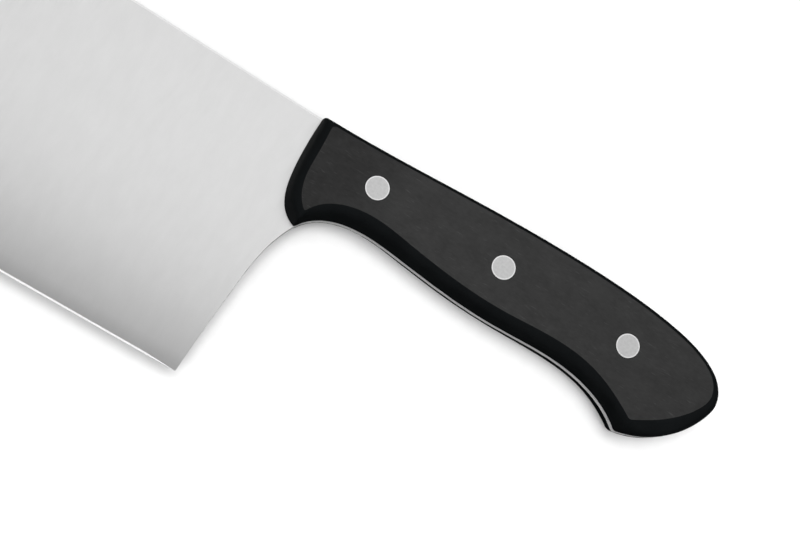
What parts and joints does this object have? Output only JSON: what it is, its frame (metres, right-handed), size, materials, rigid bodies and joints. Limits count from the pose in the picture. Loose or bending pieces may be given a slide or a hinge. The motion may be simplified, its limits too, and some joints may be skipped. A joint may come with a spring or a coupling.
{
  "type": "chinese cleaver",
  "caption": "Chinese cleaver with a tall rectangular blade, thinned to a bevelled edge, and a full tang between contoured plastic scales held by flush rivets.",
  "frame": {"origin": "middle of the bottom of the whole knife as it lies on its right side, which is on the plane of the right scale's flat face", "axes": "+X from the blade's tip to the butt of the handle, +Y from the cutting edge to the spine, +Z out of the left side"},
  "size_m": [0.3072, 0.0844, 0.0182],
  "materials": {
    "blade_steel": "stainless steel, satin ground across the blade, with a finely honed cutting bevel",
    "handle_plastic": "black acetal plastic, satin on the flat faces and smoother on the rounded shoulders",
    "rivet_steel": "stainless steel, ground flush with the scales"
  },
  "bodies": {
    "root": {"blade": "blade_steel", "left_scale": "handle_plastic", "right_scale": "handle_plastic", "front_rivet_pin": "rivet_steel", "front_rivet_sleeve": "rivet_steel", "middle_rivet_pin": "rivet_steel", "middle_rivet_sleeve": "rivet_steel", "rear_rivet_pin": "rivet_steel", "rear_rivet_sleeve": "rivet_steel"}
  },
  "joints": []
}
